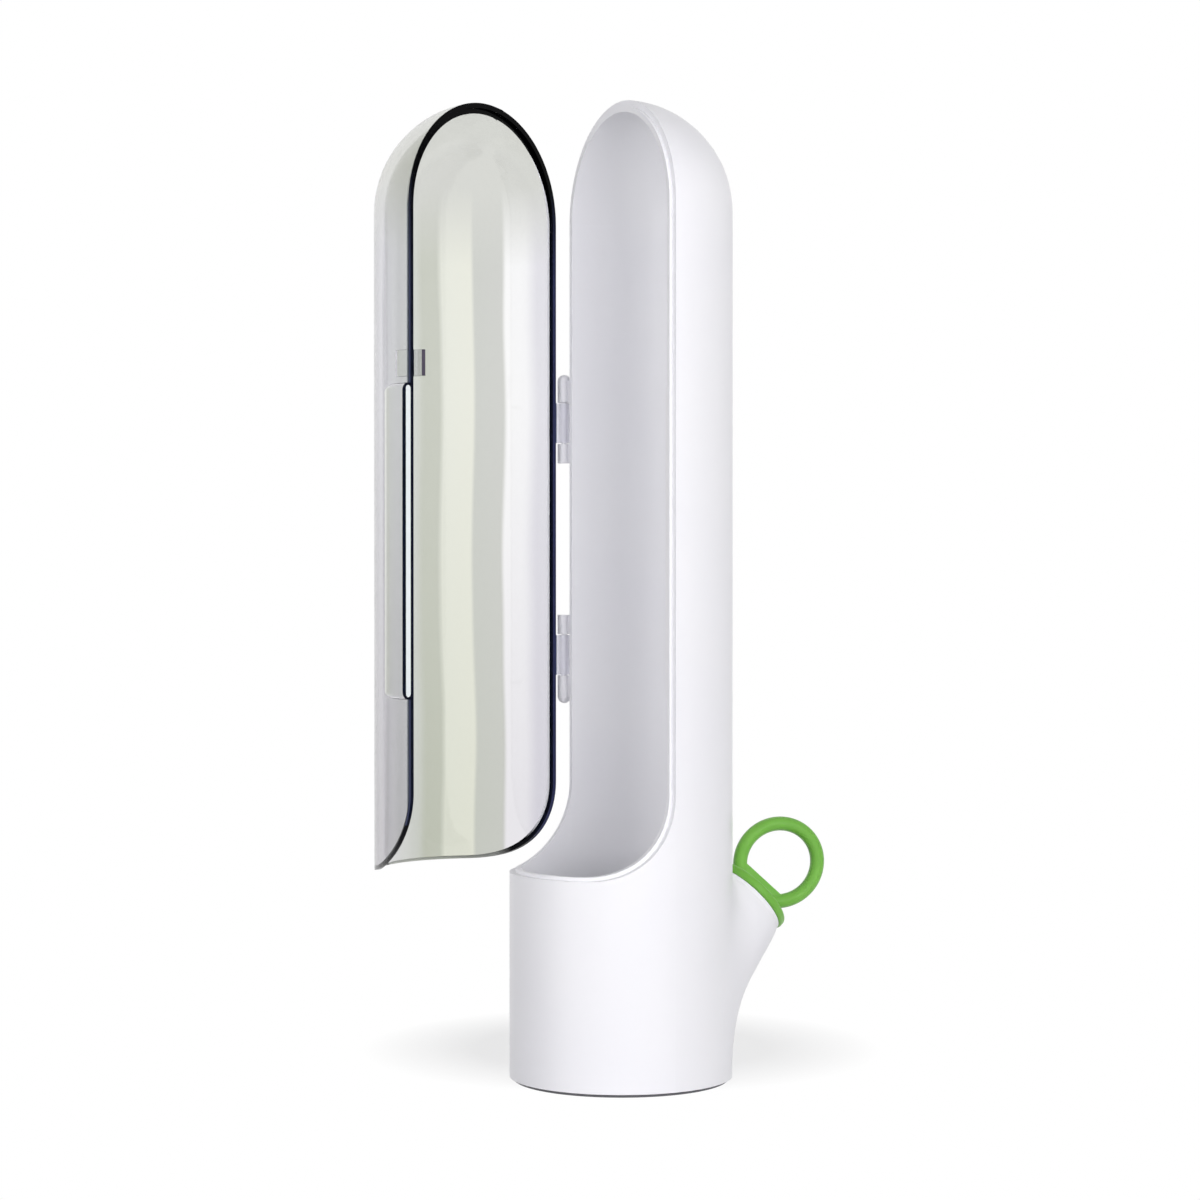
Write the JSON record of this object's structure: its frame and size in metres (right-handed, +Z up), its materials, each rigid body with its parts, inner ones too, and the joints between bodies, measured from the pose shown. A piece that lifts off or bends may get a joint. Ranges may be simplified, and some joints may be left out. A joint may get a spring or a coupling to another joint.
{
  "type": "herb keeper",
  "caption": "Tall countertop herb keeper: white water cup with a half-round back shell, clear hinged front door with a dome top, and a green pull-ring plug in a rear fill spout",
  "frame": {"origin": "centre of the underside of the base, on the axis of the cup and back shell", "axes": "+Z up along the axis of the cup; -Y out of the open front; +Y towards the fill spout; -X towards the hinge"},
  "size_m": [0.087, 0.1344, 0.2845],
  "materials": {
    "white_plastic": "gloss",
    "white_base": "satin",
    "clear_plastic": "clear, polished",
    "green_rubber": "soft matt",
    "grey_rubber": "matt",
    "pin_steel": "drawn wire"
  },
  "bodies": {
    "keeper": {"keeper_body": "white_plastic", "base_cap": "white_base", "base_gasket": "grey_rubber", "hinge_pin_upper": "pin_steel", "hinge_pin_lower": "pin_steel"},
    "door": {"clear_door": "clear_plastic"},
    "plug": {"fill_plug": "green_rubber"}
  },
  "joints": [
    {"name": "door_hinge", "type": "hinge", "parent": "keeper", "child": "door", "pos_m": [-0.03605, 0, 0.1576], "axis": [0, 0, 1], "range_deg": [-83, 67]},
    {"name": "plug_pull", "type": "slide", "parent": "keeper", "child": "plug", "axis": [0, 0.7431, 0.6691], "range_m": [0, 0.012]}
  ]
}
